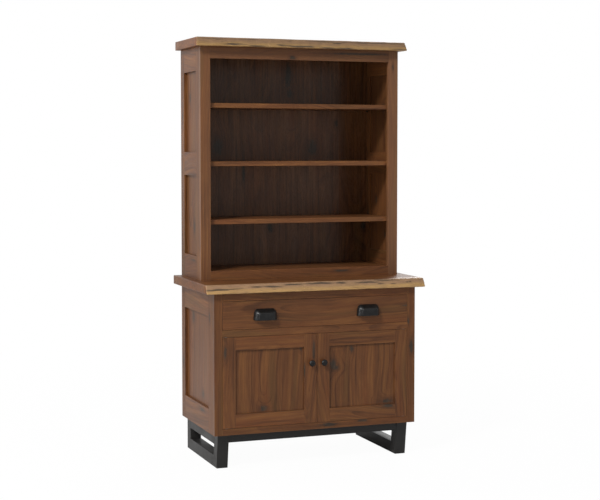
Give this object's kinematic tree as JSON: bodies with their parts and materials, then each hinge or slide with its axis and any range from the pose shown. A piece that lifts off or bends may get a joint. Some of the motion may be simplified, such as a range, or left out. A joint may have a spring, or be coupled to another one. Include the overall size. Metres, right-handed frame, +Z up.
{
  "type": "credenza with hutch",
  "caption": "Knotty wood credenza with a wide drawer over paired doors on a black steel sled base, under an open-shelf hutch; both tops have a live edge.",
  "frame": {"origin": "on the floor, under the middle of the whole piece's bounding box", "axes": "+Z up, front of the cabinet faces -Y, +X to the right as seen from the front"},
  "size_m": [0.998, 0.5288, 1.829],
  "materials": {
    "walnut": "knotty brown wood under a low-sheen finish",
    "live_edge_walnut": "brown heartwood top, pale sapwood along the bark edge, low sheen",
    "drawer_box_wood": "plain pale hardwood, clear finish",
    "black_steel": "fine-textured black powder coat",
    "black_hardware": "black, satin",
    "zinc_steel": "bright zinc-plated steel",
    "catch_plastic": "brown moulded plastic"
  },
  "bodies": {
    "cabinet": {"base_back_panel": "walnut", "base_drawer_rail": "walnut", "base_face_bottom_rail": "walnut", "base_face_stiles": "walnut", "base_face_top_rail": "walnut", "base_floor": "walnut", "base_inner_shelf": "walnut", "base_left_panel": "walnut", "base_left_rails": "walnut", "base_left_stiles": "walnut", "base_right_panel": "walnut", "base_right_rails": "walnut", "base_right_stiles": "walnut", "base_shelf_pins": "zinc_steel", "base_top_slab": "live_edge_walnut", "door_catch": "catch_plastic", "hinge_frame_leaves": "zinc_steel", "hinge_washers": "zinc_steel", "hutch_back_boards": "walnut", "hutch_dowels": "drawer_box_wood", "hutch_face_bottom_rail": "walnut", "hutch_face_stiles": "walnut", "hutch_face_top_rail": "walnut", "hutch_floor": "walnut", "hutch_left_panels": "walnut", "hutch_left_rails": "walnut", "hutch_left_stiles": "walnut", "hutch_right_panels": "walnut", "hutch_right_rails": "walnut", "hutch_right_stiles": "walnut", "hutch_shelf_pins": "zinc_steel", "hutch_shelves": "walnut", "hutch_top_slab": "live_edge_walnut", "left_sled_loop": "black_steel", "right_sled_loop": "black_steel", "sled_battens": "drawer_box_wood", "sled_crossbars": "black_steel", "slide_cabinet_members": "zinc_steel", "slide_packers": "drawer_box_wood"},
    "drawer": {"drawer_front": "walnut", "drawer_sides": "drawer_box_wood", "drawer_box_front": "drawer_box_wood", "drawer_back": "drawer_box_wood", "drawer_bottom": "drawer_box_wood", "cup_pull_left": "black_hardware", "cup_pull_right": "black_hardware", "pull_screws": "zinc_steel", "slide_drawer_members": "zinc_steel"},
    "left_door": {"left_door_stiles": "walnut", "left_door_rails": "walnut", "left_door_panel": "walnut", "left_door_knob": "black_hardware", "left_door_hinge_leaves": "zinc_steel", "left_door_strike": "zinc_steel"},
    "right_door": {"right_door_stiles": "walnut", "right_door_rails": "walnut", "right_door_panel": "walnut", "right_door_knob": "black_hardware", "right_door_hinge_leaves": "zinc_steel", "right_door_strike": "zinc_steel"}
  },
  "joints": [
    {"name": "drawer_slide", "type": "slide", "parent": "cabinet", "child": "drawer", "axis": [0, -1, 0], "range_m": [0, 0.3]},
    {"name": "left_door_hinge", "type": "hinge", "parent": "cabinet", "child": "left_door", "pos_m": [-0.4078, -0.23258, 0.176], "axis": [0, 0, -1], "range_deg": [0, 110]},
    {"name": "right_door_hinge", "type": "hinge", "parent": "cabinet", "child": "right_door", "pos_m": [0.4078, -0.23258, 0.176], "axis": [0, 0, 1], "range_deg": [0, 110]}
  ]
}
